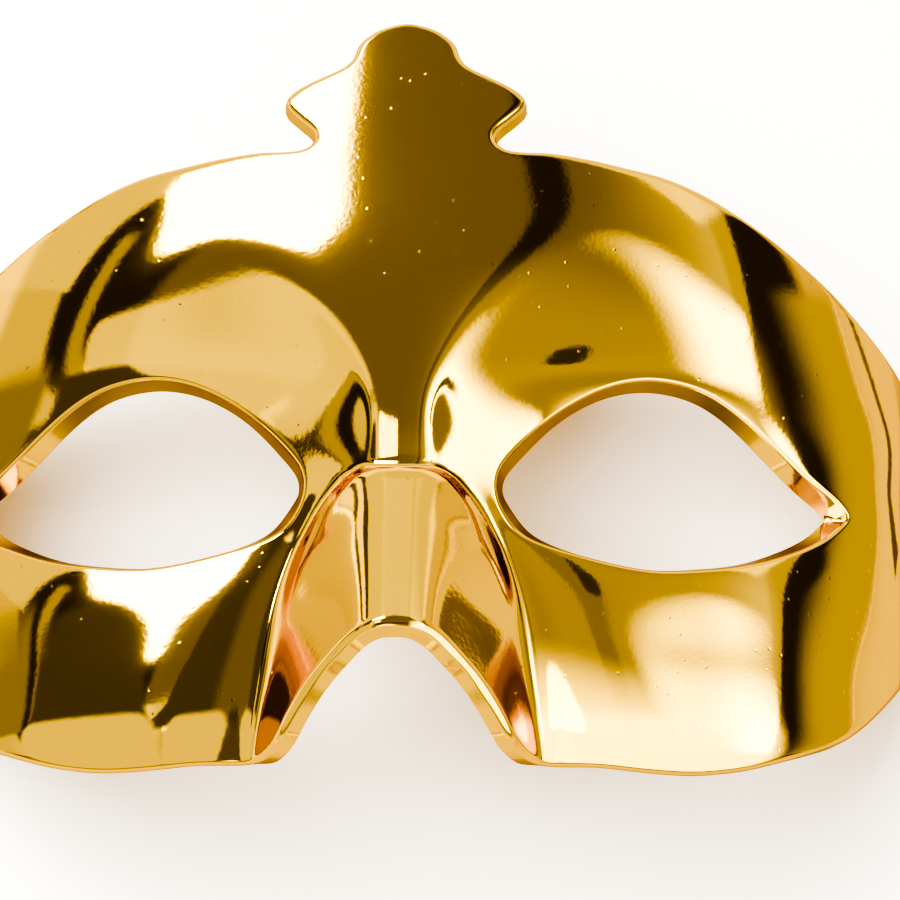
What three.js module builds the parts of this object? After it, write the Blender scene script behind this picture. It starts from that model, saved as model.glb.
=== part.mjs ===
// A half-face party mask lying face up: one thin moulded shell with a crown-like finial, two almond
// eye openings with turned-in lips, a short arch over the tip of the nose and sides that wrap back
// to the temples. Millimetres, +Z up, +Y towards the crown. The origin is under the middle of the mask.
import * as THREE from 'three';

// Driving sizes of the whole shell.
const WALL = 0.9;
const SIDE_TURN = 64 * Math.PI / 180;
const SIDE_TURN_DONE = 88;
const SIDE_TURN_POWER = 1.75;

// Rolled edge of the outline and turned-in lip of the eye openings.
const RIM = { radius: 1.0, flare: 8 * Math.PI / 180, depth: 1.9 };
const EYE_LIP = { radius: 0.9, flare: 30 * Math.PI / 180, depth: 2.3 };
const LIP_TURNS = 3;

// Forehead, brows, eye hollows and cheeks, as depths from the wrapped sheet.
const FOREHEAD = { start: 46, length: 56, fall: 9.5, outward: 95 };
const SOCKET = { depth: 4.6, spread: 7, fadeFrom: 44, fadeTo: 78, sharp: 1.2, soft: 6 };
const SOCKET_FLOOR = { from: 16, to: 56, left: 0.35 };
const GLABELLA = { top: 38, drop: 0.023, blendFrom: 18, blendTo: 28 };
const EYE_DIP = { depth: 7, s: 42, y: 30, spreadS: 24, spreadY: 15, endFrom: 70, endTo: 87 };
const CHIN_ROLL = { top: 4, length: 17, drop: 3 };
const RIDGE_RADIUS = 2.6;
const CREASE_RADIUS = 0.3;

// Height of the nose ridge over the wrapped sheet, and how steeply its flanks fall to the cheeks.
const NOSE_RIDGE = [[-14, 15.4], [0, 10], [8, 6.8], [16, 3.6], [24, 0.4], [29.3, -1.75], [34, -3.6], [110, -60]];
const NOSE_FLANK = [
  [-14, 1.28], [-10.5, 1.13], [0, 0.86], [7, 0.77], [17, 0.675], [24.5, 0.476], [28.3, 0.32], [31, 0.2],
];
// Half width of the raised brow plate, which widens upward like the stem of a T.
const BROW_HALF_WIDTH = [
  [20, 3.6], [34, 3.8], [41, 4.6], [50, 8.6], [58, 14.6], [64.5, 20.8], [70, 27.2], [74, 32.4], [84, 47],
];

// Right half of the outline in the unrolled sheet: distance round the face, height.
const ARCH = [
  [0, 1.6], [2.9, 1.3], [5.5, 0.3], [7.6, -1.3], [9.9, -3.2], [12.1, -5.6], [14.4, -8.6], [15.9, -10.5],
  [18.6, -12], [22.5, -12.7],
];
const CHEEK = [
  [28.7, -13], [34, -13.4], [39.2, -13.6], [43.8, -13.5], [48, -13], [52, -12.2], [56.3, -10.9],
  [60.7, -9.3], [66.3, -6.9], [72.5, -3.2], [79, 1.6], [84.6, 6], [90, 10.8], [94.6, 15.2],
];
const TEMPLE_END = [[97.3, 19.3], [98, 23], [98, 33], [98, 42], [97.3, 46.3], [94.6, 49.7]];
const BROW_LINE = [
  [90, 52.3], [85, 55], [79.5, 57.7], [73, 61], [67.6, 64], [63, 66.4], [58.8, 68.7], [54.3, 71],
  [50, 73.1], [46, 74.9], [42, 76.3], [38, 77.3], [34, 77.9], [30, 78.6], [26, 79.2], [20.5, 79.7],
  [16.5, 79.7], [14.3, 80.5],
];
const CROWN = [
  [13.7, 82.1], [14.3, 83.3], [15.6, 84.6], [16.9, 85.9], [18.1, 87.3], [18.5, 88.4], [18.1, 89.6],
  [16.8, 91.0], [15, 92.2], [12.4, 93.6], [10.4, 94.7], [9, 95.8], [8.3, 97], [7.9, 98.4], [7.3, 99.7],
  [6.2, 100.9], [4.8, 102], [3.1, 102.8], [1.5, 103.3], [0, 103.5],
];
const OUTLINE = [...ARCH, ...CHEEK, ...TEMPLE_END, ...BROW_LINE, ...CROWN];
const NOTCH = OUTLINE.length - CROWN.length;

// Right eye contour where the lip turns in, anticlockwise from below the inner corner.
const EYE = [
  [14.5, 23.5], [17, 20.8], [20.5, 19.2], [26, 17.8], [32, 16.6], [38, 16], [45, 16.6], [53, 18.2],
  [60, 20.7], [66, 23.6], [70, 26.6], [71.6, 29], [70.2, 30.9], [66, 33.2], [61, 36.2], [56, 39.2],
  [51, 41.8], [45.8, 43.8], [41.2, 44.7], [36, 44.8], [30.3, 43.5], [25.6, 41.3], [22, 39], [18.7, 36.3],
  [15.6, 33], [13.8, 30.2], [13.3, 27.2],
];

// How far along the eye contour each named part of the outline looks, in contour points.
const MATCH = [
  [0, 0.3], [7, 1.7], [12, 5], [17, 7.3], [20, 9], [24, 10.2], [26, 11], [29, 12.1], [32, 13],
  [36, 15.4], [41, 18], [45, 20], [NOTCH, 21.2],
];
const NOTCH_LINE = { parts: 4, match: 23 };
const MIDLINE = { parts: 14, match: 27.3 };
const RINGS = 9;

// Small round hole for the elastic near the end of each temple.
const STRAP_HOLE = { radius: 1.7, s: 93.2, y: 33, sides: 16 };

// Value on a smooth curve through [at, value] pairs.
function alongTable(table, at) {
  const last = table.length - 1;
  const here = Math.min(Math.max(at, table[0][0]), table[last][0]);
  let i = 0;
  while (i < last - 1 && here > table[i + 1][0]) i += 1;
  const slope = (k) => {
    const a = table[Math.max(k - 1, 0)];
    const b = table[Math.min(k + 1, last)];
    return (b[1] - a[1]) / (b[0] - a[0]);
  };
  const h = table[i + 1][0] - table[i][0];
  const t = (here - table[i][0]) / h;
  const t2 = t * t;
  const t3 = t2 * t;
  return (2 * t3 - 3 * t2 + 1) * table[i][1] + (t3 - 2 * t2 + t) * h * slope(i)
    + (3 * t2 - 2 * t3) * table[i + 1][1] + (t3 - t2) * h * slope(i + 1);
}

function ease(from, to, at) {
  const t = Math.min(Math.max((at - from) / (to - from), 0), 1);
  return t * t * (3 - 2 * t);
}

function ramp(u, r) {
  if (u < -r) return 0;
  if (u > r) return u;
  return (u + r) * (u + r) / (4 * r);
}

// The plain wrap round the face: flat over the nose, turning back ever faster to the temples.
const WRAP_STEP = 0.1;
const wrapTable = [{ x: 0, z: 0 }];
const turnAt = (s) => SIDE_TURN * Math.min(s / SIDE_TURN_DONE, 1) ** SIDE_TURN_POWER;
for (let s = 0; s < 130; s += WRAP_STEP) {
  const last = wrapTable[wrapTable.length - 1];
  const turn = turnAt(s + WRAP_STEP / 2);
  wrapTable.push({ x: last.x + WRAP_STEP * Math.cos(turn), z: last.z - WRAP_STEP * Math.sin(turn) });
}
function wrap(s) {
  const a = Math.abs(s);
  const k = Math.floor(a / WRAP_STEP);
  const f = a / WRAP_STEP - k;
  const p = wrapTable[k];
  const q = wrapTable[k + 1];
  const side = s < 0 ? -1 : 1;
  return { x: side * (p.x + (q.x - p.x) * f), z: p.z + (q.z - p.z) * f, turn: side * turnAt(a) };
}

// Height of the face over the plain wrap.
function relief(s, y) {
  const a = Math.abs(s);
  const up = Math.max(y - FOREHEAD.start, 0) / FOREHEAD.length;
  let d = -FOREHEAD.fall * up * up * (1 + (a / FOREHEAD.outward) ** 2);

  const slant = alongTable(BROW_HALF_WIDTH, y + 0.5) - alongTable(BROW_HALF_WIDTH, y - 0.5);
  const beyond = (a - alongTable(BROW_HALF_WIDTH, y)) / Math.sqrt(1 + slant * slant);
  const edge = SOCKET.sharp + (SOCKET.soft - SOCKET.sharp) * ease(40, 76, y);
  const sunk = 1 - Math.exp(-ramp(beyond, edge) / SOCKET.spread);
  const plate = ease(GLABELLA.blendFrom, GLABELLA.blendTo, y);
  const depth = SOCKET.depth * (1 - ease(SOCKET.fadeFrom, SOCKET.fadeTo, y));
  const floor = 1 - (1 - SOCKET_FLOOR.left) * ease(SOCKET_FLOOR.from, SOCKET_FLOOR.to, a);
  d -= depth * (1 - (1 - sunk) * plate) * floor;
  d -= GLABELLA.drop * (1 - sunk) * Math.max(GLABELLA.top - y, 0) ** 2;

  const round = ((y - EYE_DIP.y) / EYE_DIP.spreadY) ** 2 + ((a - EYE_DIP.s) / EYE_DIP.spreadS) ** 2;
  d -= EYE_DIP.depth * Math.exp(-round) * (1 - ease(EYE_DIP.endFrom, EYE_DIP.endTo, a));
  d -= CHIN_ROLL.drop * (Math.max(CHIN_ROLL.top - y, 0) / CHIN_ROLL.length) ** 2;

  const nose = alongTable(NOSE_RIDGE, y) - alongTable(NOSE_FLANK, y) * (Math.hypot(a, RIDGE_RADIUS) - RIDGE_RADIUS);
  return (d + nose + Math.hypot(d - nose, CREASE_RADIUS)) / 2;
}

function facePoint(s, y) {
  const w = wrap(s);
  const d = relief(s, y);
  return new THREE.Vector3(w.x + d * Math.sin(w.turn), y, w.z + d * Math.cos(w.turn));
}

function faceNormal(s, y) {
  const e = 0.05;
  const across = facePoint(s + e, y).sub(facePoint(s - e, y));
  const up = facePoint(s, y + e).sub(facePoint(s, y - e));
  return across.cross(up).normalize();
}

// The sheet stops short of the outline by the width of the rolled edge.
const RIM_WIDTH = RIM.radius * Math.cos(RIM.flare) + RIM.depth * Math.sin(RIM.flare);
function insetOutline(k) {
  const last = OUTLINE.length - 1;
  const mirrored = (i) => (i < 0 ? [-OUTLINE[-i][0], OUTLINE[-i][1]]
    : i > last ? [-OUTLINE[2 * last - i][0], OUTLINE[2 * last - i][1]] : OUTLINE[i]);
  const a = mirrored(k - 1);
  const b = OUTLINE[k];
  const c = mirrored(k + 1);
  const unit = (p, q) => {
    const l = Math.hypot(q[0] - p[0], q[1] - p[1]);
    return [(q[0] - p[0]) / l, (q[1] - p[1]) / l];
  };
  const u = unit(a, b);
  const v = unit(b, c);
  const t = [u[0] + v[0], u[1] + v[1]];
  const l = Math.hypot(t[0], t[1]);
  const s = k === 0 || k === last ? 0 : b[0] - RIM_WIDTH * t[1] / l;
  return [s, b[1] + RIM_WIDTH * t[0] / l];
}

// Point on the eye contour, which is closed and smooth.
function onEye(at) {
  const n = EYE.length;
  const i = Math.floor(at);
  const t = at - i;
  const p = (k) => EYE[(((i + k) % n) + n) % n];
  const mix = (k) => 0.5 * (2 * p(0)[k] + (p(1)[k] - p(-1)[k]) * t
    + (2 * p(-1)[k] - 5 * p(0)[k] + 4 * p(1)[k] - p(2)[k]) * t * t
    + (3 * p(0)[k] - p(-1)[k] - 3 * p(1)[k] + p(2)[k]) * t * t * t);
  return [mix(0), mix(1)];
}

function matchAt(k) {
  let i = 0;
  while (i < MATCH.length - 2 && k > MATCH[i + 1][0]) i += 1;
  const [k0, e0] = MATCH[i];
  const [k1, e1] = MATCH[i + 1];
  return e0 + (e1 - e0) * (k - k0) / (k1 - k0);
}

// Spokes run from the eye contour to the outline, then to the notch line and down the middle.
const sheetEdge = OUTLINE.map((_, k) => insetOutline(k));
const spokes = [];
for (let k = 0; k <= NOTCH; k += 1) spokes.push({ inner: onEye(matchAt(k)), outer: sheetEdge[k] });
const notchEye = MATCH[MATCH.length - 1][1];
const notch = sheetEdge[NOTCH];
for (let q = 1; q <= NOTCH_LINE.parts; q += 1) {
  const f = q / NOTCH_LINE.parts;
  spokes.push({ inner: onEye(notchEye + (NOTCH_LINE.match - notchEye) * f), outer: [notch[0] * (1 - f), notch[1]] });
}
for (let q = 1; q < MIDLINE.parts; q += 1) {
  const f = q / MIDLINE.parts;
  const low = sheetEdge[0][1];
  spokes.push({
    inner: onEye(NOTCH_LINE.match + (MIDLINE.match - NOTCH_LINE.match) * f),
    outer: [0, notch[1] + (low - notch[1]) * (0.35 * f + 0.65 * (1 - (1 - f) ** 1.35))],
  });
}

const vertices = [];
const triangles = [];
function vertex(p) {
  vertices.push(p);
  return vertices.length - 1;
}

// One half of the shell. Side 1 is the right half, side -1 its mirror image.
const middle = new Map();
function buildHalf(side) {
  const place = (p) => vertex(new THREE.Vector3(side * p.x, p.y, p.z));
  const face = (a, b, c) => triangles.push(side > 0 ? [a, b, c] : [a, c, b]);
  const shared = (key, p) => {
    if (!middle.has(key)) middle.set(key, vertex(new THREE.Vector3(0, p.y, p.z)));
    return middle.get(key);
  };
  const skin = (s, y, key) => {
    const p = facePoint(s, y);
    const n = faceNormal(s, y);
    if (key) n.setX(0).normalize();
    const inside = p.clone().addScaledVector(n, -WALL);
    const put = (q, layer) => (key ? shared(key + layer, q) : place(q));
    return { p, n, key, front: put(p, 'front'), back: put(inside, 'back') };
  };
  const quad = (a, b, c, d) => {
    face(a.front, b.front, c.front);
    face(a.front, c.front, d.front);
    face(a.back, c.back, b.back);
    face(a.back, d.back, c.back);
  };

  const web = spokes.map(({ inner, outer }, i) => {
    const row = [];
    for (let j = 0; j <= RINGS; j += 1) {
      const f = j / RINGS;
      const s = inner[0] + (outer[0] - inner[0]) * f;
      const y = inner[1] + (outer[1] - inner[1]) * f;
      row.push(skin(s, y, j === RINGS && outer[0] === 0 ? `spoke${i}` : null));
    }
    return row;
  });

  // The hole for the elastic takes the place of the four cells round one crossing of the web.
  let crossing = { gap: Infinity };
  spokes.forEach(({ inner, outer }, i) => {
    for (let j = 1; j < RINGS; j += 1) {
      const f = j / RINGS;
      const ds = inner[0] + (outer[0] - inner[0]) * f - STRAP_HOLE.s;
      const dy = inner[1] + (outer[1] - inner[1]) * f - STRAP_HOLE.y;
      const gap = Math.hypot(ds, dy);
      if (gap < crossing.gap) crossing = { gap, i, j };
    }
  });
  const { i: hi, j: hj } = crossing;

  for (let i = 0; i < web.length; i += 1) {
    const next = (i + 1) % web.length;
    for (let j = 0; j < RINGS; j += 1) {
      const holed = (i === hi || i === hi - 1) && (j === hj || j === hj - 1);
      if (!holed) quad(web[i][j], web[i][j + 1], web[next][j + 1], web[next][j]);
    }
  }

  const around = [[-1, -1], [-1, 0], [-1, 1], [0, 1], [1, 1], [1, 0], [1, -1], [0, -1]]
    .map(([di, dj]) => web[hi + di][hj + dj]);
  const centre = web[hi][hj];
  const toward = (k) => {
    const a = around[Math.floor(k / 2) % 8].p;
    const b = around[Math.ceil(k / 2) % 8].p;
    return a.clone().add(b).multiplyScalar(0.5).sub(centre.p).normalize();
  };
  const holeEdge = [];
  for (let k = 0; k < STRAP_HOLE.sides; k += 1) {
    const p = centre.p.clone().addScaledVector(toward(k), STRAP_HOLE.radius);
    const inside = p.clone().addScaledVector(centre.n, -WALL);
    holeEdge.push({ front: place(p), back: place(inside) });
  }
  for (let k = 0; k < 8; k += 1) {
    const a = around[k];
    const b = around[(k + 1) % 8];
    const [h0, h1, h2] = [2 * k, 2 * k + 1, (2 * k + 2) % 16].map((m) => holeEdge[m]);
    for (const [u, v, w] of [[a, b, h1], [a, h1, h0], [b, h2, h1]]) {
      face(u.front, v.front, w.front);
      face(u.back, w.back, v.back);
    }
    for (const [u, v] of [[h0, h1], [h1, h2]]) {
      face(u.front, v.front, v.back);
      face(u.front, v.back, u.back);
    }
  }

  // The finial above the notch line, in level rows from the middle to the outline.
  const columns = NOTCH_LINE.parts;
  const rows = [];
  rows.push(Array.from({ length: columns + 1 }, (_, q) => web[NOTCH + columns - q][RINGS]));
  const last = OUTLINE.length - 1;
  for (let k = NOTCH + 1; k < last; k += 1) {
    const [s, y] = sheetEdge[k];
    rows.push(Array.from({ length: columns + 1 }, (_, q) => skin(s * q / columns, y, q ? null : `row${k}`)));
  }
  for (let k = 0; k < rows.length - 1; k += 1) {
    for (let q = 0; q < columns; q += 1) quad(rows[k][q], rows[k][q + 1], rows[k + 1][q + 1], rows[k + 1][q]);
  }
  const peak = skin(0, sheetEdge[last][1], 'peak');
  const topRow = rows[rows.length - 1];
  for (let q = 0; q < columns; q += 1) {
    face(topRow[q].front, topRow[q + 1].front, peak.front);
    face(topRow[q].back, peak.back, topRow[q + 1].back);
  }

  // A lip leaves the sheet in a small fillet and ends in a plain cut edge.
  const lip = (loop, closed, shape, outward) => {
    const n = loop.length;
    const rings = loop.map((v, i) => {
      const atMiddle = Boolean(v.key);
      const ahead = closed || i < n - 1 ? loop[(i + 1) % n].p : v.p;
      const behind = closed || i > 0 ? loop[(i - 1 + n) % n].p : v.p;
      const along = atMiddle ? new THREE.Vector3(i === 0 ? 1 : -1, 0, 0) : ahead.clone().sub(behind);
      const out = along.cross(v.n).multiplyScalar(outward).normalize();
      const line = [];
      const step = (turn, push) => {
        const skinDir = v.n.clone().multiplyScalar(Math.cos(turn)).addScaledVector(out, Math.sin(turn));
        const wallDir = out.clone().multiplyScalar(Math.cos(turn)).addScaledVector(v.n, -Math.sin(turn));
        const q = v.p.clone().addScaledVector(out, shape.radius * Math.sin(turn))
          .addScaledVector(v.n, -shape.radius * (1 - Math.cos(turn))).addScaledVector(wallDir, push);
        line.push({ outer: q, inner: q.clone().addScaledVector(skinDir, -WALL) });
      };
      const full = Math.PI / 2 - shape.flare;
      for (let a = 1; a <= LIP_TURNS; a += 1) step(full * a / LIP_TURNS, 0);
      step(full, shape.depth);
      const put = (q, layer) => (atMiddle ? shared(v.key + layer, q) : place(q));
      const down = line.map((l, a) => put(l.outer, `outer${a}`));
      const end = put(line[LIP_TURNS].inner, 'inner');
      return [v.front, ...down, end, v.back];
    });
    const count = closed ? n : n - 1;
    for (let i = 0; i < count; i += 1) {
      const here = rings[i];
      const there = rings[(i + 1) % n];
      for (let a = 0; a < here.length - 1; a += 1) {
        if (outward > 0) {
          face(there[a], here[a], here[a + 1]);
          face(there[a], here[a + 1], there[a + 1]);
        } else {
          face(here[a], there[a], there[a + 1]);
          face(here[a], there[a + 1], here[a + 1]);
        }
      }
    }
  };
  const rimLoop = web.slice(0, NOTCH + 1).map((row) => row[RINGS]);
  rimLoop[0].key = 'apex';
  for (let k = 1; k < rows.length; k += 1) rimLoop.push(rows[k][columns]);
  rimLoop.push(peak);
  lip(rimLoop, false, RIM, 1);
  lip(web.map((row) => row[0]), true, EYE_LIP, -1);
}
buildHalf(1);
buildHalf(-1);

// Stand the shell on its temple ends with the origin under its middle.
const box = new THREE.Box3().setFromPoints(vertices);
const lift = new THREE.Vector3(0, -(box.min.y + box.max.y) / 2, -box.min.z);
const coordinates = [];
for (const t of triangles) {
  for (const i of t) {
    const p = vertices[i].clone().add(lift);
    coordinates.push(p.x, p.y, p.z);
  }
}
const geometry = new THREE.BufferGeometry();
geometry.setAttribute('position', new THREE.Float32BufferAttribute(coordinates, 3));
geometry.computeVertexNormals();

const goldPlastic = new THREE.MeshStandardMaterial({ color: 0xd9a441, metalness: 0.9, roughness: 0.15 });
goldPlastic.name = 'gold_metallised_plastic';
const shell = new THREE.Mesh(geometry, goldPlastic);
shell.name = 'mask_shell';

const mask = new THREE.Group();
mask.name = 'masquerade_eye_mask';
mask.add(shell);
export default mask;
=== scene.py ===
import math

import bmesh
import bpy
import numpy as np
from mathutils import Matrix, Vector


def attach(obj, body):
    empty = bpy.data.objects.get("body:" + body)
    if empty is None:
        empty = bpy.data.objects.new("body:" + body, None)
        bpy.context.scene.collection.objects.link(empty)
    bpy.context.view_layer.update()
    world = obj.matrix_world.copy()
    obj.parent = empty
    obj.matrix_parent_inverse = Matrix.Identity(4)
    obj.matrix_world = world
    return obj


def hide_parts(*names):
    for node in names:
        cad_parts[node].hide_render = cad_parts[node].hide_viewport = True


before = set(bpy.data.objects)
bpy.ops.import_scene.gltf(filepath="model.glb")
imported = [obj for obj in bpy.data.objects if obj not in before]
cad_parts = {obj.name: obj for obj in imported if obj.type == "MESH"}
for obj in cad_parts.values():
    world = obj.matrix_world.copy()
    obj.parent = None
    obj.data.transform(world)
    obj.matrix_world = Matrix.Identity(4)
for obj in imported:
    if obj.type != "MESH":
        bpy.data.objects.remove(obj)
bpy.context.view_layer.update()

# Mask shell, its unrolled outline: the whole mask is one thin moulding of polystyrene, trimmed to these
# lines. They are measured in millimetres round the face and up it from the tip of the nose arch. The right
# half is given, and the left half is its mirror image.
MM = 0.001
ARCH = [
    (0, 1.6), (2.9, 1.3), (5.5, 0.3), (7.6, -1.3), (9.9, -3.2), (12.1, -5.6), (14.4, -8.6), (15.9, -10.5),
    (18.6, -12), (22.5, -12.7),
]
CHEEK = [
    (28.7, -13), (34, -13.4), (39.2, -13.6), (43.8, -13.5), (48, -13), (52, -12.2), (56.3, -10.9),
    (60.7, -9.3), (66.3, -6.9), (72.5, -3.2), (79, 1.6), (84.6, 6), (90, 10.8), (94.6, 15.2),
]
TEMPLE_END = [(97.3, 19.3), (98, 23), (98, 33), (98, 42), (97.3, 46.3), (94.6, 49.7)]
BROW_LINE = [
    (90, 52.3), (85, 55), (79.5, 57.7), (73, 61), (67.6, 64), (63, 66.4), (58.8, 68.7), (54.3, 71),
    (50, 73.1), (46, 74.9), (42, 76.3), (38, 77.3), (34, 77.9), (30, 78.6), (26, 79.2), (20.5, 79.7),
    (16.5, 79.7),
]
CROWN = [
    (14.3, 80.5), (13.7, 82.1), (14.3, 83.3), (15.6, 84.6), (16.9, 85.9), (18.1, 87.3), (18.5, 88.4),
    (18.1, 89.6), (16.8, 91.0), (15, 92.2), (12.4, 93.6), (10.4, 94.7), (9, 95.8), (8.3, 97), (7.9, 98.4),
    (7.3, 99.7), (6.2, 100.9), (4.8, 102), (3.1, 102.8), (1.5, 103.3), (0, 103.5),
]
OUTLINE = ARCH + CHEEK + TEMPLE_END + BROW_LINE + CROWN
NOTCH = len(OUTLINE) - len(CROWN)
EYE = [
    (14.5, 23.5), (17, 20.8), (20.5, 19.2), (26, 17.8), (32, 16.6), (38, 16), (45, 16.6), (53, 18.2),
    (60, 20.7), (66, 23.6), (70, 26.6), (71.6, 29), (70.2, 30.9), (66, 33.2), (61, 36.2), (56, 39.2),
    (51, 41.8), (45.8, 43.8), (41.2, 44.7), (36, 44.8), (30.3, 43.5), (25.6, 41.3), (22, 39), (18.7, 36.3),
    (15.6, 33), (13.8, 30.2), (13.3, 27.2),
]
# Which point of the eye each named point of the outline faces, so that the web between them lies evenly.
FACING = [
    (0, 0.3), (7, 1.7), (12, 5), (17, 7.3), (20, 9), (24, 10.2), (26, 11), (29, 12.1), (32, 13),
    (36, 15.4), (41, 18), (45, 20), (NOTCH, 21.2),
]
RUN_ON = 6


def smooth_through(knots, values):
    """The smooth cubic curve through values at knots, as a function."""
    t, v = np.array(knots, float), np.array(values, float)
    n, h = len(t), np.diff(t)
    system, right_side = np.eye(n), np.zeros_like(v)
    for i in range(1, n - 1):
        system[i, i - 1:i + 2] = h[i - 1], 2 * (h[i - 1] + h[i]), h[i]
        right_side[i] = 6 * ((v[i + 1] - v[i]) / h[i] - (v[i] - v[i - 1]) / h[i - 1])
    bend = np.linalg.solve(system, right_side)

    def at(x):
        x = np.clip(x, t[0], t[-1])
        i = np.clip(np.searchsorted(t, x) - 1, 0, n - 2)
        span, a, b = h[i], t[i + 1] - x, x - t[i]
        if v.ndim > 1:
            span, a, b = np.asarray(span)[..., None], np.asarray(a)[..., None], np.asarray(b)[..., None]
        return (bend[i] * a**3 + bend[i + 1] * b**3) / (6 * span) \
            + (v[i] / span - bend[i] * span / 6) * a + (v[i + 1] / span - bend[i + 1] * span / 6) * b
    return at


def smooth_line(points, before, after):
    """A line through points, read by point number, that runs on smoothly into the points before and after."""
    whole = np.array(before + points + after, float)
    lengths = np.concatenate([[0], np.cumsum(np.hypot(*np.diff(whole, axis=0).T))])
    number = np.arange(len(whole)) - len(before)
    curve = smooth_through(lengths, whole)
    return lambda u: curve(np.interp(u, number, lengths))


def other_side(points):
    return [(-s, y) for s, y in points]


on_outline = smooth_line(OUTLINE, other_side(OUTLINE[RUN_ON:0:-1]), other_side(OUTLINE[-2:-2 - RUN_ON:-1]))
on_eye = smooth_line(EYE * 2, EYE[-RUN_ON:], EYE[:RUN_ON])

# Mask shell, the form of its face: the sheet wraps back to the temples, and the brow plate, eye hollows,
# cheeks and nose stand out from it or sink into it. All are soft blends, as a polished mould has no sharp
# steps. Sizes are in millimetres, and a pair of numbers says from where to where a blend runs.
SIDE_TURN, SIDE_TURN_DONE, SIDE_TURN_POWER = math.radians(64), 88, 1.75
WRAP_LENGTH, WRAP_STEP = 130, 0.02
FOREHEAD_START, FOREHEAD_BEND, FOREHEAD_FALL, FOREHEAD_LENGTH, FOREHEAD_OUTWARD = 46, 7, 9.5, 56, 95
FINIAL_ABOVE_FOREHEAD_START, FINIAL_BEND = 36, 4
SOCKET_DEPTH, SOCKET_SPREAD, SOCKET_FADES = 4.6, 7, (46, 80)
SOCKET_EDGE, SOCKET_EDGE_ADDED, SOCKET_EDGE_SOFTENS = 1.8, 4.2, (40, 76)
LID_FILLED_IN, LID = 0.45, (34, 48)
SOCKET_FILLED_IN, SOCKET_SIDE = 0.65, (16, 56)
CHEEK_FILLED_IN, CHEEK_SIDE, CHEEK_ENDS = 0.45, (36, 64), (2, 22)
BROW_PLATE_STARTS = (18, 28)
PLATE_FOOT_TOP, PLATE_FOOT_BEND, PLATE_FOOT_DROP = 38, 4, 0.023
EYE_DIP_S, EYE_DIP_Y, EYE_DIP_DEPTH, EYE_DIP_SPREAD_S = 42, 30, 7, 24
EYE_DIP_SPREAD_Y, EYE_DIP_SPREAD_ADDED, EYE_DIP_NARROWS, EYE_DIP_ENDS = 15, 2, (20, 40), (70, 87)
LOWER_ROLL_TOP, LOWER_ROLL_BEND, LOWER_ROLL_LENGTH, LOWER_ROLL_DROP = -4.5, 2, 8.5, 2.2
RIDGE_WIDTH, NOSE_ROOT = 4.2, 28
COLLAR_WIDTH, COLLAR_BEND, COLLAR_STEEPER, COLLAR_GROWS = 2.4, 1.2, 0.5, (4, 20)
ROOT_FALL, ROOT_FALL_START, ROOT_FALL_BEND = 1.2, 28.3, 1.5
CREASE_RADIUS, CREASE_RADIUS_ADDED, CREASE_SHARPENS = 0.8, 2.4, (-6, 22)
nose_ridge = smooth_through(*zip(
    (-14, 15.4), (0, 10), (8, 6.9), (16, 3.8), (24, 0.8), (27, -0.3), (30, -1.3), (34, -2.8), (60, -20),
    (110, -60),
))
nose_half_width = smooth_through(*zip(
    (-14, 21.3), (-10, 20.8), (-1.5, 19.4), (8.5, 17.8), (16.5, 15.7), (22, 13.2), (26, 10.2), (28, 8.2),
    (29, 7.5),
))
brow_half_width = smooth_through(*zip(
    (20, 3.6), (34, 3.8), (41, 4.6), (50, 8.6), (58, 14.6), (64.5, 20.8), (70, 27.2), (74, 32.4), (84, 47),
))
wrap_s = np.arange(0, WRAP_LENGTH, WRAP_STEP)
wrap_turn = SIDE_TURN * np.minimum(wrap_s / SIDE_TURN_DONE, 1) ** SIDE_TURN_POWER
wrap_x = np.concatenate([[0], np.cumsum(np.cos(wrap_turn))[:-1]]) * WRAP_STEP
wrap_z = -np.concatenate([[0], np.cumsum(np.sin(wrap_turn))[:-1]]) * WRAP_STEP


def ease(start, end, at):
    """Zero before start and one after end, with no corner on the way."""
    t = np.clip((at - start) / (end - start), 0, 1)
    return t**3 * (6 * t * t - 15 * t + 10)


def ramp(u, radius):
    """Zero below, rising at one in one above, with a soft bend of that radius between."""
    t = np.clip((u + radius) / (2 * radius), 0, 1)
    return np.where(u > radius, u, 2 * radius * (t**3 - t**4 / 2))


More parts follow.
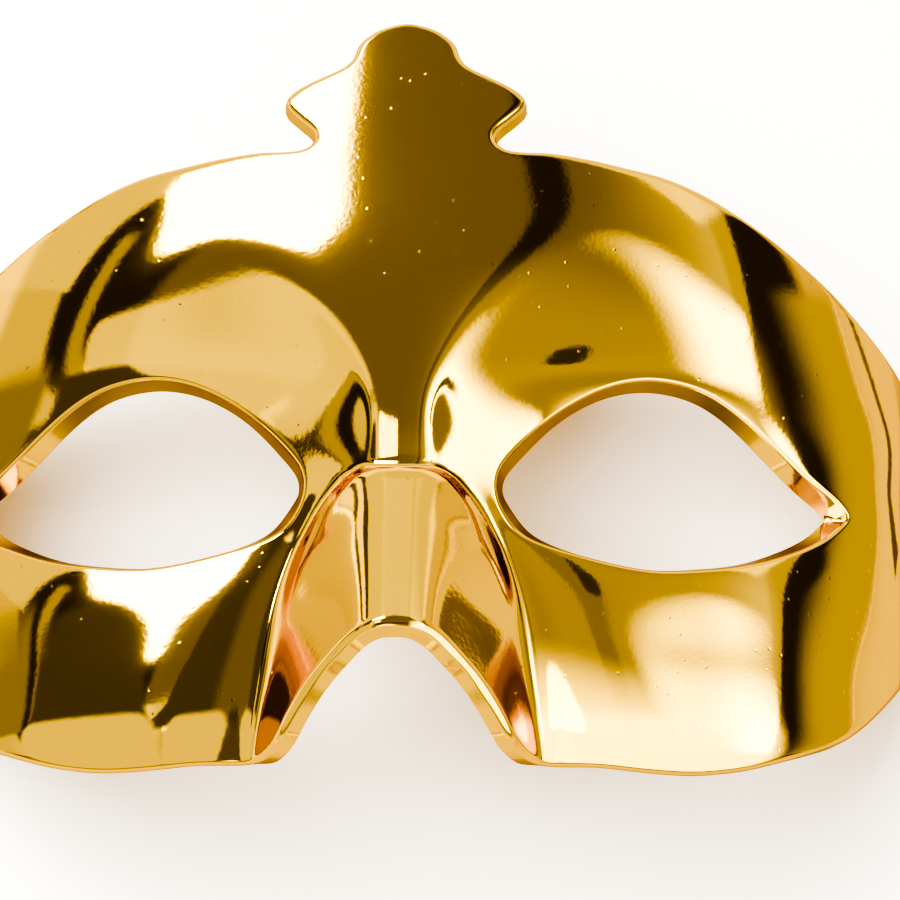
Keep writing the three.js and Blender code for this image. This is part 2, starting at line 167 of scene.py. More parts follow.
def sheet_relief(a, y):
    """How far the sheet stands out from the plain wrap, without the nose."""
    up = ramp(y - FOREHEAD_START, FOREHEAD_BEND)
    leaning = up**2 - ramp(up - FINIAL_ABOVE_FOREHEAD_START, FINIAL_BEND) ** 2
    d = -FOREHEAD_FALL * leaning / FOREHEAD_LENGTH**2 * (1 + (a / FOREHEAD_OUTWARD) ** 2)

    slant = brow_half_width(y + 0.5) - brow_half_width(y - 0.5)
    beyond = (a - brow_half_width(y)) / np.sqrt(1 + slant * slant)
    edge = SOCKET_EDGE + SOCKET_EDGE_ADDED * ease(*SOCKET_EDGE_SOFTENS, y)
    sunk = 1 - np.exp(-ramp(beyond, edge) / SOCKET_SPREAD)
    above_cheek = ease(*CHEEK_ENDS, y)
    filled_in = SOCKET_FILLED_IN * ease(*SOCKET_SIDE, a) * above_cheek \
        + CHEEK_FILLED_IN * ease(*CHEEK_SIDE, a) * (1 - above_cheek)
    depth = SOCKET_DEPTH * (1 - LID_FILLED_IN * ease(*LID, y)) * (1 - ease(*SOCKET_FADES, y))
    depth *= 1 - filled_in
    d -= depth * (1 - (1 - sunk) * ease(*BROW_PLATE_STARTS, y))
    d -= PLATE_FOOT_DROP * (1 - sunk) * ramp(PLATE_FOOT_TOP - y, PLATE_FOOT_BEND) ** 2

    spread_y = EYE_DIP_SPREAD_Y + EYE_DIP_SPREAD_ADDED * (1 - ease(*EYE_DIP_NARROWS, y))
    dip = np.exp(-((y - EYE_DIP_Y) / spread_y) ** 2 - ((a - EYE_DIP_S) / EYE_DIP_SPREAD_S) ** 2)
    d -= EYE_DIP_DEPTH * dip * (1 - ease(*EYE_DIP_ENDS, a))
    return d - LOWER_ROLL_DROP * (ramp(LOWER_ROLL_TOP - y, LOWER_ROLL_BEND) / LOWER_ROLL_LENGTH) ** 2


def nose_shape(across):
    """How far the nose falls at a distance from its ridge: flat on top, with straight flanks."""
    return (across**4 + RIDGE_WIDTH**4) ** 0.25 - RIDGE_WIDTH


def relief(s, y):
    """How far the mask stands out from the plain wrap: the nose or the sheet, with a soft crease between.
    The nose's flank ends in a steeper collar and comes down to the sheet at the nose's half width."""
    a, edge, below_root = np.abs(s), nose_half_width(y), np.minimum(y, NOSE_ROOT)
    sheet = sheet_relief(a, y)
    steeper = COLLAR_STEEPER * ease(*COLLAR_GROWS, y)
    fall = nose_shape(a) + steeper * ramp(a - edge + COLLAR_WIDTH, COLLAR_BEND)
    whole_fall = nose_shape(edge) + steeper * COLLAR_WIDTH
    height = nose_ridge(below_root) - sheet_relief(edge, below_root)
    nose = nose_ridge(y) - height * fall / whole_fall - ROOT_FALL * ramp(y - ROOT_FALL_START, ROOT_FALL_BEND)
    crease_radius = CREASE_RADIUS + CREASE_RADIUS_ADDED * (1 - ease(*CREASE_SHARPENS, y))
    return (sheet + nose + np.hypot(sheet - nose, crease_radius)) / 2


# From the tip of the nose arch to the origin, which is on the table under the middle of the mask.
LIFT_Y, LIFT_Z = -44.953, 43.501
NORMAL_STEP = 0.05


def face_point(s, y):
    """Where a point of the unrolled sheet lies on the face, in millimetres."""
    a, side, d = np.abs(s), np.sign(s), relief(s, y)
    turn = np.interp(a, wrap_s, wrap_turn)
    x = np.interp(a, wrap_s, wrap_x) + d * np.sin(turn)
    z = np.interp(a, wrap_s, wrap_z) + d * np.cos(turn)
    return np.stack([side * x, y + LIFT_Y, z + LIFT_Z], -1)


def face_normal(s, y):
    e = NORMAL_STEP
    n = np.cross(face_point(s + e, y) - face_point(s - e, y), face_point(s, y + e) - face_point(s, y - e))
    return n / np.linalg.norm(n, axis=-1)[..., None]


# Mask shell, the moulded sheet: a ring of cells drawn from the eye out to the outline, the finial pulled up
# from the notch line, mirrored, then laid on the face. It keeps clear of the outline by the width of the
# rolled edge. Spokes run from the eye outwards, and the ones to the midline stand closer together towards
# the nose arch.
ROLL_RADIUS, ROLL_DEPTH, ROLL_FLARE = 1.0, 1.9, math.radians(8)
ROLL_WIDTH = ROLL_RADIUS * math.cos(ROLL_FLARE) + ROLL_DEPTH * math.sin(ROLL_FLARE)
ARCH_SPOKES, SIDE_SPOKES, NOTCH_SPOKES, MIDLINE_SPOKES = 72, 158, 20, 62
RINGS, CROWN_ROWS = 41, 60
NOTCH_FACES, MIDLINE_FACES = 23, 27.3
MIDLINE_EVEN, MIDLINE_CROWDING = 0.35, 1.35
# In point numbers: how far to both sides a direction is read, and how near still is on the midline.
READ_ASIDE, NEARLY_NONE = 0.02, 1e-6
MEASURED_CUTS = 2000


def sheet_edge(u):
    """The outline, set in by the width of the rolled edge."""
    p, along = on_outline(u), on_outline(u + READ_ASIDE) - on_outline(u - READ_ASIDE)
    along /= np.linalg.norm(along, axis=-1)[..., None]
    inner = p + ROLL_WIDTH * np.stack([-along[..., 1], along[..., 0]], -1)
    on_midline = (u < NEARLY_NONE) | (u > len(OUTLINE) - 1 - NEARLY_NONE)
    inner[..., 0] = np.where(on_midline, 0, inner[..., 0])
    return inner


def evenly_along(curve, start, end, count):
    """Point numbers that cut the curve into count even lengths."""
    u = np.linspace(start, end, MEASURED_CUTS)
    reach = np.concatenate([[0], np.cumsum(np.linalg.norm(np.diff(curve(u), axis=0), axis=1))])
    return np.interp(np.linspace(0, reach[-1], count + 1), reach, u)


RIM_SPOKES = ARCH_SPOKES + SIDE_SPOKES
rim_u = np.concatenate([evenly_along(sheet_edge, 0, len(ARCH), ARCH_SPOKES)[:-1],
                        evenly_along(sheet_edge, len(ARCH), NOTCH, SIDE_SPOKES)])
rim_end = sheet_edge(rim_u)
notch_corner = rim_end[-1]
share = np.arange(1, NOTCH_SPOKES + 1) / NOTCH_SPOKES
notch_end = np.stack([notch_corner[0] * (1 - share), np.full_like(share, notch_corner[1])], -1)
notch_u = FACING[-1][1] + (NOTCH_FACES - FACING[-1][1]) * share
share = np.arange(1, MIDLINE_SPOKES) / MIDLINE_SPOKES
down = MIDLINE_EVEN * share + (1 - MIDLINE_EVEN) * (1 - (1 - share) ** MIDLINE_CROWDING)
middle_end = np.stack([0 * share, notch_corner[1] + (rim_end[0][1] - notch_corner[1]) * down], -1)
middle_u = NOTCH_FACES + (MIDLINE_FACES - NOTCH_FACES) * share
outer_end = np.concatenate([rim_end, notch_end, middle_end])
inner_end = on_eye(np.concatenate([np.interp(rim_u, *zip(*FACING)), notch_u, middle_u]))


def pull(bm, edges):
    """Extrudes a row of edges and returns the new row, and which new vertex came from each old one."""
    made = bmesh.ops.extrude_edge_only(bm, edges=edges)["geom"]
    new = {g for g in made if isinstance(g, bmesh.types.BMVert)}
    came_from = {e.other_vert(v): v for v in new for e in v.link_edges if e.other_vert(v) not in new}
    return [bm.edges.get([came_from[v] for v in e.verts]) for e in edges], came_from


def face_outwards(bm):
    """Turns the faces of the sheet to the side that looks up, away from the wearer."""
    bmesh.ops.recalc_face_normals(bm, faces=bm.faces[:])
    if sum(f.normal.z for f in bm.faces) < 0:
        bmesh.ops.reverse_faces(bm, faces=bm.faces[:])


sheet = bmesh.new()
rim_ring = bmesh.ops.create_circle(sheet, segments=len(inner_end), radius=MM)["verts"]
ring_edges = sheet.edges[:]
for v, p in zip(rim_ring, inner_end):
    v.co = (*p * MM, 0)
for j in range(1, RINGS + 1):
    ring_edges, came_from = pull(sheet, ring_edges)
    rim_ring = [came_from[v] for v in rim_ring]
    for v, p in zip(rim_ring, inner_end + (outer_end - inner_end) * j / RINGS):
        v.co = (*p * MM, 0)

row = rim_ring[RIM_SPOKES:RIM_SPOKES + NOTCH_SPOKES + 1]
row_edges = [sheet.edges.get(pair) for pair in zip(row, row[1:])]
crown_u = evenly_along(sheet_edge, NOTCH, len(OUTLINE) - 1, CROWN_ROWS)
for s, y in sheet_edge(crown_u[1:]):
    row_edges, came_from = pull(sheet, row_edges)
    row = [came_from[v] for v in row]
    for q, v in enumerate(row):
        v.co = (s * MM * (1 - q / NOTCH_SPOKES), y * MM, 0)
bmesh.ops.pointmerge(sheet, verts=row, merge_co=row[-1].co)

# The cord's hole takes the place of the cells round one vertex, whose outer edge is pushed out to a circle.
STRAP_HOLE_S, STRAP_HOLE_Y, STRAP_HOLE_RADIUS = 93.2, 33, 1.7
strap_hole = Vector((STRAP_HOLE_S * MM, STRAP_HOLE_Y * MM, 0))
nearest = min(sheet.verts, key=lambda v: (v.co - strap_hole).length)
cells = {f for v in {v for f in nearest.link_faces for v in f.verts} for f in v.link_faces}
hole_edge = {e for f in cells for e in f.edges if any(g not in cells for g in e.link_faces)}
hole_ring = {v for e in hole_edge for v in e.verts}
bmesh.ops.delete(sheet, geom=[f for f in sheet.faces if f in cells], context="FACES")
for v in hole_ring:
    v.co = strap_hole + (v.co - strap_hole).normalized() * (STRAP_HOLE_RADIUS * MM)

bmesh.ops.mirror(sheet, geom=sheet.verts[:] + sheet.edges[:] + sheet.faces[:], matrix=Matrix.Identity(4),
                 merge_dist=0.01 * MM, axis="X")
unrolled = sheet.verts.layers.float_vector.new("unrolled")
flat = np.array([v.co[:2] for v in sheet.verts]) / MM
for v, (s, y), p in zip(sheet.verts, flat, face_point(*flat.T) * MM):
    v[unrolled] = (s * MM, y * MM, 0)
    v.co = p
face_outwards(sheet)

# Mask shell, its rolled outline, turned-in eye lips and the rims of the cord holes: each leaves the sheet
# in a small fillet and stands back from it as a short wall, so the wearer's side is smooth. Each is given
# by the radius of its fillet, its depth, the angle by which it flares outwards and the steps of its fillet.
LIPS = {
    "outline": (ROLL_RADIUS, ROLL_DEPTH, ROLL_FLARE, 7),
    "eye": (0.9, 2.9, math.radians(32), 7),
    "cord_hole": (0.35, 0.5, math.radians(4), 4),
}
NEAR_STRAP_HOLE = 2.5
ROUND_EYE_S, ROUND_EYE_Y = (12, 73), (15, 46)
# Extra rows this close to both ends of a wall keep its shading straight.
SUPPORT = 0.12
WALL_THICKNESS = 0.85
TRIM_WIDTH, TRIM_STEPS, TRIM_FROM = 0.14, 2, math.radians(50)


def lip_of(v):
    s, y = abs(v[unrolled].x) / MM, v[unrolled].y / MM
    if math.hypot(s - STRAP_HOLE_S, y - STRAP_HOLE_Y) < NEAR_STRAP_HOLE:
        return "cord_hole"
    round_eye = ROUND_EYE_S[0] < s < ROUND_EYE_S[1] and ROUND_EYE_Y[0] < y < ROUND_EYE_Y[1]
    return "eye" if round_eye else "outline"


edge_rows = {name: [] for name in LIPS}
for e in sheet.edges:
    if e.is_boundary:
        edge_rows[lip_of(e.verts[0])].append(e)
for name, edges in edge_rows.items():
    radius, depth, flare, steps = LIPS[name]
    ring = list(dict.fromkeys(v for e in edges for v in e.verts))
    ring_places = np.array([v[unrolled][:2] for v in ring]) / MM
    starts = {}
    for v, n in zip(ring, face_normal(*ring_places.T)):
        n = Vector(n)
        ahead, behind = [e.other_vert(v).co for e in v.link_edges if e.is_boundary]
        out = (ahead - behind).cross(n).normalized()
        inland = [e.other_vert(v).co for e in v.link_edges if not e.is_boundary]
        if out.dot(v.co - sum(inland, Vector()) / len(inland)) < 0:
            out.negate()
        starts[v] = (v.co.copy(), n, out)
    full = math.pi / 2 - flare
    bends = [(full * a / steps, 0) for a in range(1, steps + 1)]
    for turn, push in bends + [(full, SUPPORT), (full, depth - SUPPORT), (full, depth)]:
        edges, came_from = pull(sheet, edges)
        starts = {came_from[v]: start for v, start in starts.items()}
        for v, (p, n, out) in starts.items():
            fillet = out * (radius * math.sin(turn)) - n * (radius * (1 - math.cos(turn)))
            down_wall = out * math.cos(turn) - n * math.sin(turn)
            v.co = p + (fillet + down_wall * push) * MM
face_outwards(sheet)
for f in sheet.faces:
    f.smooth = True


def object_of(bm, name):
    """Turns a finished bmesh into an object of the scene."""
    mesh = bpy.data.meshes.new(name)
    bm.to_mesh(mesh)
    bm.free()
    made = bpy.data.objects.new(name, mesh)
    bpy.context.scene.collection.objects.link(made)
    return made


shell = object_of(sheet, "gold_mask_shell")
wall = shell.modifiers.new("wall", "SOLIDIFY")
wall.thickness, wall.offset = WALL_THICKNESS * MM, -1
trim = shell.modifiers.new("trimmed_edge", "BEVEL")
trim.width, trim.segments, trim.profile = TRIM_WIDTH * MM, TRIM_STEPS, 0.5
trim.limit_method, trim.angle_limit, trim.use_clamp_overlap = "ANGLE", TRIM_FROM, True

# Mask shell, its finish: polystyrene with aluminium evaporated on in a vacuum and a clear gold-dyed lacquer
# over it. The eye sees a mirror tinted deep yellow. The mould leaves it a little wavy, the lacquer's orange
# peel frays what it mirrors, and dust under the lacquer shows as bright and dark pinpoints.
GOLD, GOLD_EDGE = "#d0a326", "#ecc86a"
LACQUER_ROUGHNESS = 0.06
WAVE_SIZE, WAVE_HEIGHT, WAVE_STRENGTH = 14 * MM, 0.08 * MM, 0.35
PEEL_SIZE, PEEL_HEIGHT, PEEL_STRENGTH = 0.7 * MM, 0.01 * MM, 0.4
NOISE_DETAIL, NOISE_ROUGHNESS = 1.0, 0.4
# A pit's floor and rim, 0.1 and 0.25 mm, are shares of the spacing. Real pits are finer and wouldn't show.
PIT_SPACING, PIT_DEPTH, PIT_STRENGTH = 2.8 * MM, 0.04 * MM, 0.3
PIT_FLOOR, PIT_RIM = 0.04, 0.09


def linear(hex_colour):
    """An sRGB hex colour as the linear one that a shader takes."""
    parts = [int(hex_colour[i:i + 2], 16) / 255 for i in (1, 3, 5)]
    return (*[c / 12.92 if c <= 0.04045 else ((c + 0.055) / 1.055) ** 2.4 for c in parts], 1)


def add_node(material, kind, settings=None, links=None):
    """Adds a node, sets its properties and inputs, and links its inputs to other nodes' outputs."""
    node = material.node_tree.nodes.new(kind)
    for name, value in (settings or {}).items():
        if isinstance(name, int) or name in node.inputs:
            node.inputs[name].default_value = value
        else:
            setattr(node, name, value)
    for name, (source, output) in (links or {}).items():
        material.node_tree.links.new(source.outputs[output], node.inputs[name])
    return node


def bare_material(name):
    material = bpy.data.materials.new(name)
    material.use_nodes = True
    material.node_tree.nodes.clear()
    return material


gold = bare_material("vacuum_metallised_gold_lacquered_polystyrene")
place = add_node(gold, "ShaderNodeTexCoord")
mould_wave, orange_peel = [
    add_node(gold, "ShaderNodeTexNoise",
             {"Scale": 1 / size, "Detail": NOISE_DETAIL, "Roughness": NOISE_ROUGHNESS},
             {"Vector": (place, "Object")})
    for size in (WAVE_SIZE, PEEL_SIZE)
]
dust = add_node(gold, "ShaderNodeTexVoronoi", {"Scale": 1 / PIT_SPACING, "Randomness": 1.0},
                {"Vector": (place, "Object")})
pit = add_node(gold, "ShaderNodeMapRange", {"From Min": PIT_FLOOR, "From Max": PIT_RIM},
               {"Value": (dust, "Distance")})
wave_bump = add_node(gold, "ShaderNodeBump", {"Strength": WAVE_STRENGTH, "Distance": WAVE_HEIGHT},
                     {"Height": (mould_wave, "Fac")})
peel_bump = add_node(gold, "ShaderNodeBump", {"Strength": PEEL_STRENGTH, "Distance": PEEL_HEIGHT},
                     {"Height": (orange_peel, "Fac"), "Normal": (wave_bump, "Normal")})
pit_bump = add_node(gold, "ShaderNodeBump", {"Strength": PIT_STRENGTH, "Distance": PIT_DEPTH},
                    {"Height": (pit, 0), "Normal": (peel_bump, "Normal")})
lacquer = add_node(gold, "ShaderNodeBsdfPrincipled",
                   {"Base Color": linear(GOLD), "Specular Tint": linear(GOLD_EDGE), "Metallic": 1.0,
                    "Roughness": LACQUER_ROUGHNESS},
                   {"Normal": (pit_bump, "Normal")})
add_node(gold, "ShaderNodeOutputMaterial", links={"Surface": (lacquer, "BSDF")})
shell.data.materials.append(gold)
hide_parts("mask_shell")
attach(shell, "root")

# Table: a sheet of matt white card that the mask lies on, large enough to fill every view. It takes a soft
# shadow without a gloss. Its faint warm glow is painted light: it lifts and warms the shadows on it, and
# stands for the gold light that the mask throws on it.
TABLE_HALF_SIZE = 4
TABLE_WHITE, TABLE_ROUGHNESS = "#f9f4ea", 0.7
# Painted warm light: the card glows in this colour at this strength, which shows most in its shadows.
TABLE_PAINTED_GLOW, TABLE_PAINTED_GLOW_STRENGTH = "#ffcc80", 0.3
table_top = bmesh.new()
bmesh.ops.create_grid(table_top, x_segments=1, y_segments=1, size=TABLE_HALF_SIZE)
table = object_of(table_top, "table")
white_card = bpy.data.materials.new("matt_white_card_painted_glow")
white_card.use_nodes = True
white_card_sockets = white_card.node_tree.nodes["Principled BSDF"].inputs
white_card_sockets["Base Color"].default_value = linear(TABLE_WHITE)
white_card_sockets["Roughness"].default_value = TABLE_ROUGHNESS
white_card_sockets["Emission Color"].default_value = linear(TABLE_PAINTED_GLOW)
white_card_sockets["Emission Strength"].default_value = TABLE_PAINTED_GLOW_STRENGTH
table.data.materials.append(white_card)

# Studio light: sheets of white cotton lit from behind, hung level over the table, hung low over the mask or
# stood round the table. Each glows evenly, shows no weave and fades at its edges, so the gold mirrors it as
# one bright or dark gold field with a soft border. Sizes are in metres and angles in degrees.
FOCUS = Vector((0, -0.01, 0.035))
CORNER_FADES_FROM = 0.8
# The fade of an edge that has none to be seen. A fade of nothing at all would leave the whole sheet dark.
SHARP = 0.001
ROUND_CUTS = 16
BACKDROP_ROUNDING = 0.02


def overhead(angles, height):
    """A place over the mask, given by angles from straight up towards the right and towards the crown."""
    return FOCUS + Vector((math.tan(math.radians(angles[0])), math.tan(math.radians(angles[1])), 1)) * height


def stage_piece(name, lie, cuts):
    """A thin piece out of the camera's sight, which only shows in reflections.
    How it lies gives the place of each point of it, by its shares across and up from 0 to 1."""
    bm = bmesh.new()
    bm.loops.layers.uv.new("spread")
    bmesh.ops.create_grid(bm, x_segments=cuts, y_segments=1, size=0.5, calc_uvs=True)
    for v in bm.verts:
        v.co = lie(v.co.x + 0.5, v.co.y + 0.5)
    piece = object_of(bm, name)
    piece.visible_camera = piece.visible_diffuse = piece.visible_shadow = False
    return piece


def light_sheet(name, lie, glow, fade, rounding, thick=False, cuts=1):
    """A cloth that glows and fades at its left, right, low and high edges, by shares of its size, as its
    corners are rounded. What is behind shines through, unless the cloth is thick."""
    cloth = bare_material("backlit_white_cotton_" + name)
    cloth.cycles.emission_sampling = "NONE"
    spread = add_node(cloth, "ShaderNodeUVMap", {"uv_map": "spread"})
    axes = add_node(cloth, "ShaderNodeSeparateXYZ", links={"Vector": (spread, "UV")})
    from_middle = add_node(cloth, "ShaderNodeVectorMath", {"operation": "SUBTRACT", 1: (0.5, 0.5, 0)},
                           {0: (spread, 0)})
    to_side = add_node(cloth, "ShaderNodeVectorMath", {"operation": "ABSOLUTE"}, {0: (from_middle, 0)})
    inner_corner = (0.5 - rounding, 0.5 - rounding, 0)
    corner = add_node(cloth, "ShaderNodeVectorMath", {"operation": "SUBTRACT", 1: inner_corner},
                      {0: (to_side, 0)})
    corner = add_node(cloth, "ShaderNodeVectorMath", {"operation": "MAXIMUM", 1: (0, 0, 0)}, {0: (corner, 0)})
    reach = add_node(cloth, "ShaderNodeVectorMath", {"operation": "LENGTH"}, {0: (corner, 0)})

    left, right, low, high = fade
    shown = add_node(cloth, "ShaderNodeValue")
    shown.outputs[0].default_value = 1
    for source, none, full in (
        ((axes, "X"), 0, left),
        ((axes, "X"), 1, 1 - right),
        ((axes, "Y"), 0, low),
        ((axes, "Y"), 1, 1 - high),
        ((reach, "Value"), rounding, rounding * CORNER_FADES_FROM),
    ):
        lit = add_node(cloth, "ShaderNodeMapRange",
                       {"interpolation_type": "SMOOTHSTEP", "From Min": none, "From Max": full},
                       {"Value": source})
        shown = add_node(cloth, "ShaderNodeMath", {"operation": "MULTIPLY"}, {0: (shown, 0), 1: (lit, 0)})

    strength = add_node(cloth, "ShaderNodeMath", {"operation": "MULTIPLY", 1: glow}, {0: (shown, 0)})
    shining = add_node(cloth, "ShaderNodeEmission", links={"Strength": (strength, 0)})
    hiding = {"operation": "MULTIPLY_ADD", 1: -1.0 if thick else 0.0, 2: 1.0}
    clearness = add_node(cloth, "ShaderNodeMath", hiding, {0: (shown, 0)})
    clear = add_node(cloth, "ShaderNodeBsdfTransparent", links={"Color": (clearness, 0)})
    both = add_node(cloth, "ShaderNodeAddShader", links={0: (shining, 0), 1: (clear, 0)})
    add_node(cloth, "ShaderNodeOutputMaterial", links={"Surface": (both, 0)})
    stage_piece(name, lie, cuts).data.materials.append(cloth)


def between(corners):
    """How a four-cornered piece lies, its corners given low left, low right, high right, high left."""
    low_left, low_right, high_right, high_left = corners
    return lambda u, w: low_left.lerp(low_right, u).lerp(high_left.lerp(high_right, u), w)


def round_table(away, azimuth, low, high):
    """How a piece curves round the table between two azimuths, from a low to a high elevation at each."""
    def lie(u, w):
        turn = math.radians(azimuth[0] + (azimuth[1] - azimuth[0]) * u)
        bottom, top = (math.tan(math.radians(e[0] + (e[1] - e[0]) * u)) for e in (low, high))
        return Vector((math.sin(turn), math.cos(turn), bottom + (top - bottom) * w)) * away + FOCUS
    return lie


def overhead_sheet(name, height, corners, glow, fade, rounding=0.1):
    """A sheet hung well over the mask, its corners given as angles from straight up."""
    light_sheet(name, between([overhead(c, height) for c in corners]), glow, fade, rounding)


def low_sheet(name, height, corners, glow, fade, rounding=0.1, thick=False):
    """A sheet hung just over the mask, its corners given as places, so that only a part mirrors it."""
    light_sheet(name, between([Vector((x, y, height)) for x, y in corners]), glow, fade, rounding, thick)


def backdrop_sheet(name, away, azimuth, high, glow, fade, low=(0, 0), thick=False):
    """A sheet that stands round the table."""
    light_sheet(name, round_table(away, azimuth, low, high), glow, fade, BACKDROP_ROUNDING, thick, ROUND_CUTS)


overhead_sheet("back_left", height=1.10, corners=[(-34, 25), (-5, 37), (-8, 59), (-43, 55)], glow=24,
               fade=(0.08, 0.1, 0.05, 0.15), rounding=0.24)
overhead_sheet("middle", height=1.12, corners=[(-21, -18), (-5, -18), (-5, 15), (-20, 15)], glow=7,
               fade=(0.1, 0.1, 0.1, 0.15), rounding=0.45)
overhead_sheet("left", height=1.14, corners=[(-41, -46), (-12, -46), (-14, 19), (-44, 20)], glow=1.5,
               fade=(0.06, 0.4, 0.06, 0.05), rounding=0.22)
overhead_sheet("right", height=1.16, corners=[(30, -24), (48, -24), (53, 36), (20, 36)], glow=9,
               fade=(0.35, 0.2, 0.2, 0.3), rounding=0.25)
overhead_sheet("right_back", height=1.18, corners=[(17, 15), (52, 15), (60, 64), (24, 64)], glow=0.8,
               fade=(0.7, 0.05, 0.2, 0.3))
overhead_sheet("ceiling", height=1.20, corners=[(-36, -20), (13, -24), (13, 64), (-16, 64)], glow=0.24,
               fade=(0.1, 0.04, 0.1, 0.05))
overhead_sheet("ceiling_right", height=1.24, corners=[(17, -24), (46, -24), (54, 64), (19, 64)], glow=0.24,
               fade=(0.05, 0.1, 0.1, 0.05))
overhead_sheet("ceiling_front", height=1.22, corners=[(-60, -60), (52, -60), (52, 10), (-60, 10)], glow=0.14,
               fade=(0.1, 0.1, 0.1, 0.3))
low_sheet("cheek_right", height=0.075,
          corners=[(-0.01, -0.13), (0.13, -0.13), (0.12, -0.014), (0.005, -0.026)],
          glow=6, fade=(0.08, 0.3, 0.02, 0.3), rounding=0.05)
low_sheet("cheek_left", height=0.074,
          corners=[(-0.108, -0.13), (-0.045, -0.13), (-0.047, -0.035), (-0.108, -0.035)],
          glow=1.4, fade=(0.05, 0.05, 0.05, 0.08), rounding=0.28, thick=True)
low_sheet("cheek_left_inner", height=0.0745,
          corners=[(-0.05, -0.13), (-0.012, -0.13), (-0.012, -0.043), (-0.045, -0.043)],
          glow=1.4, fade=(0.05, 0.05, 0.05, 0.08), rounding=0.28, thick=True)
low_sheet("cheek_dim_left", height=0.078,
          corners=[(-0.108, -0.06), (-0.048, -0.06), (-0.064, -0.004), (-0.098, -0.004)],
          glow=0.15, fade=(0.1, 0.05, 0.1, 0.1), thick=True)
low_sheet("cheek_dim_right", height=0.079,
          corners=[(-0.058, -0.06), (-0.018, -0.06), (-0.021, -0.002), (-0.033, -0.002)],
          glow=0.15, fade=(0.06, 0.15, 0.1, 0.1), thick=True)
low_sheet("cheek_gold", height=0.077, corners=[(0, -0.06), (0.12, -0.06), (0.12, 0.04), (0, 0.04)],
          glow=0.35, fade=(0.2, 0.2, 0.3, 0.3))
low_sheet("cheek_dim_outer", height=0.0785,
          corners=[(-0.2, -0.05), (-0.108, -0.05), (-0.104, 0.014), (-0.2, 0.04)],
          glow=0.45, fade=(0.05, 0.08, 0.1, 0.25), rounding=0.05, thick=True)
low_sheet("brow_spot", height=0.0755,
          corners=[(0.0355, -0.006), (0.042, -0.006), (0.042, 0.007), (0.0355, 0.007)],
          glow=0.1, fade=(0.2, 0.2, 0.2, 0.2), rounding=0.5, thick=True)
backdrop_sheet("backdrop_left", away=2.0, azimuth=(-118, -59.8), high=(45, 29), glow=1.1,
               fade=(0.03, SHARP, SHARP, 0.08))
backdrop_sheet("backdrop", away=2.0, azimuth=(-60, -6), high=(31, 38), glow=1.4,
               fade=(SHARP, 0.1, SHARP, 0.06))
backdrop_sheet("backdrop_middle", away=2.2, azimuth=(-12, 44), high=(33, 33), glow=1.3,
               fade=(0.1, 0.05, SHARP, 0.06))
backdrop_sheet("backdrop_right", away=2.3, azimuth=(57, 112), high=(25, 40), glow=0.8,
               fade=(0.07, 0.05, SHARP, 0.65), thick=True)
backdrop_sheet("front_cloth", away=2.3, azimuth=(112, 242), high=(38, 38), glow=0.5,
               fade=(0.1, 0.1, SHARP, 0.4))
backdrop_sheet("side_strip", away=2.4, azimuth=(-118, -44), high=(53, 41), glow=0.65,
               fade=(0.05, 0.05, 0.3, 0.3), low=(45, 35.5))

# Room lights: two large panels of lit diffuser film over the table, a broad one and a brighter one like a
# window. The film glows evenly, so the shadows on the table are soft. The gold doesn't mirror the panels.
for name, height, corners, glow in [
    ("room_light", 1.6, [(-56, -30), (8, -30), (8, 35), (-56, 35)], 8.5),
    ("room_window", 1.65, [(-42, 20), (-14, 20), (-14, 48), (-42, 48)], 22),
]:
    film = bare_material("lit_diffuser_film_" + name)
    shining = add_node(film, "ShaderNodeEmission", {"Strength": glow})
    add_node(film, "ShaderNodeOutputMaterial", links={"Surface": (shining, 0)})
    panel = stage_piece(name, between([overhead(c, height) for c in corners]), 1)
    panel.data.materials.append(film)
    panel.visible_diffuse, panel.visible_glossy = True, False

# Studio cards: matt grey paper that only shows as reflections, lying just over the table under and beside the
# mask, or standing behind it. The paper has no gloss of its own, so the turned-in edges and the sides of the
# nose mirror it as even browns and dark lines. The card under the mask is painted shade: its grey stands for
# the table in the mask's shadow, as the rolled edge and the eye lips mirror it.
PAPER_ROUGHNESS = 0.8


def lying(height, corners):
    """How a card lies level over the table, its height and corners in millimetres."""
    return between([Vector((x, y, height)) * MM for x, y in corners])


for name, lie, colour in [
    ("card_left", lying(1, [(-74, 30), (-110, 3), (-740, 500), (-660, 590)]), "#8c867b"),
    ("card_left_near", lying(2, [(-80, 24), (-98, -16), (-190, 22), (-160, 90)]), "#96907f"),
    ("card_right", lying(2, [(98, -8), (106, -10), (330, 214), (290, 200)]), "#38332c"),
    # Painted shade: this grey card stands for the shadowed table under the mask and just round it.
    ("card_under_painted_shade", lying(1, [(-95, -75), (95, -75), (95, 75), (-95, 75)]), "#a39d91"),
    ("card_round", lying(0.5, [(-700, -500), (700, -500), (700, 700), (-700, 700)]), "#bdb6a8"),
    ("card_behind", round_table(1.6, (-43, -37.5), (-1, -1), (13, 13)), "#2a2723"),
    ("card_behind_thin", round_table(1.6, (-48.5, -46.5), (-1, -1), (10, 10)), "#2a2723"),
]:
    paper = bpy.data.materials.new("matt_grey_paper_" + name)
    paper.use_nodes = True
    paper_sockets = paper.node_tree.nodes["Principled BSDF"].inputs
    paper_sockets["Base Color"].default_value = linear(colour)
    paper_sockets["Roughness"].default_value = PAPER_ROUGHNESS
    stage_piece(name, lie, ROUND_CUTS).data.materials.append(paper)

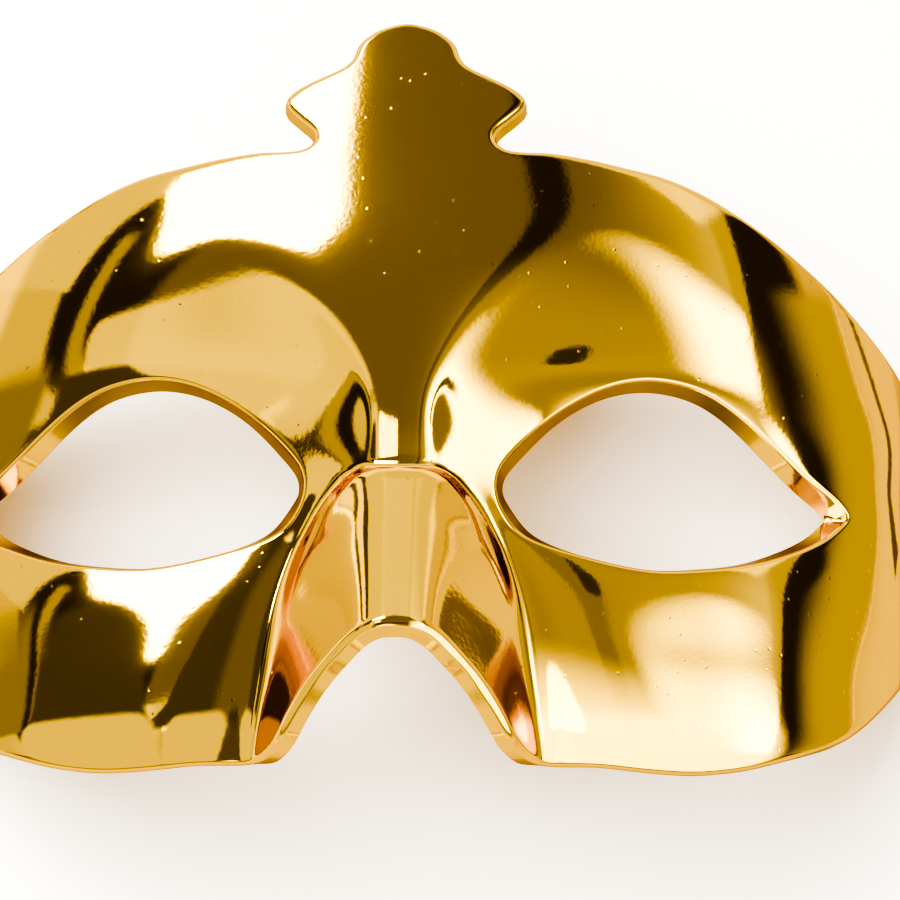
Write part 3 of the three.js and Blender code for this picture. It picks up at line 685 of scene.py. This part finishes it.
# Room: warm white walls that glow up to a low height round the table, and a dim ceiling over them. The
# walls end between two heights, each the sine of an elevation.
WALL_WHITE, WALL_GLOW, CEILING_GLOW = "#fff3dc", 1.2, 0.06
WALLS_END = (0.14, 0.24)
world = bpy.data.worlds.new("room")
world.use_nodes = True
bpy.context.scene.world = world
ray = add_node(world, "ShaderNodeTexCoord")
ray_axes = add_node(world, "ShaderNodeSeparateXYZ", links={"Vector": (ray, "Generated")})
walls = add_node(world, "ShaderNodeMapRange",
                 {"interpolation_type": "SMOOTHSTEP", "From Min": WALLS_END[0], "From Max": WALLS_END[1],
                  "To Min": WALL_GLOW, "To Max": CEILING_GLOW}, {"Value": (ray_axes, "Z")})
background = world.node_tree.nodes["Background"].inputs
world.node_tree.links.new(walls.outputs[0], background["Strength"])
background["Color"].default_value = linear(WALL_WHITE)

# Camera: above the mask and a little towards its chin, as it was photographed. It looks at a point just
# right of the nose's root. The contrast of the picture is high, as in a product photograph.
CAMERA_DISTANCE, CAMERA_TILT, CAMERA_AZIMUTH, CAMERA_ROLL = 0.480, 22, 1.0, 0.55
AIM = Vector((7.0, 32.6 + LIFT_Y, -5.0 + LIFT_Z)) * MM
SENSOR_WIDTH, PICTURE_WIDTH, PIXELS_PER_MM = 36, 900, 7.1
NEAREST_SEEN, FARTHEST_SEEN = 0.01, 100
tilt, azimuth, roll = (math.radians(v) for v in (CAMERA_TILT, CAMERA_AZIMUTH, CAMERA_ROLL))
back = Matrix.Rotation(azimuth, 3, "Y") @ Vector((0, -math.sin(tilt), math.cos(tilt)))
right = (-back).cross(Vector((0, 1, 0))).normalized()
up = right.cross(-back)
right, up = right * math.cos(roll) + up * math.sin(roll), up * math.cos(roll) - right * math.sin(roll)
lens = bpy.data.cameras.new("camera")
lens.sensor_width = SENSOR_WIDTH
lens.lens = PIXELS_PER_MM * CAMERA_DISTANCE / MM / PICTURE_WIDTH * lens.sensor_width
lens.clip_start, lens.clip_end = NEAREST_SEEN, FARTHEST_SEEN
camera = bpy.data.objects.new("camera", lens)
bpy.context.scene.collection.objects.link(camera)
camera.location = AIM + back * CAMERA_DISTANCE
camera.rotation_euler = Matrix((right, up, back)).transposed().to_euler()
bpy.context.scene.camera = camera
bpy.context.scene.view_settings.view_transform = "AgX"
bpy.context.scene.view_settings.look = "AgX - Very High Contrast"
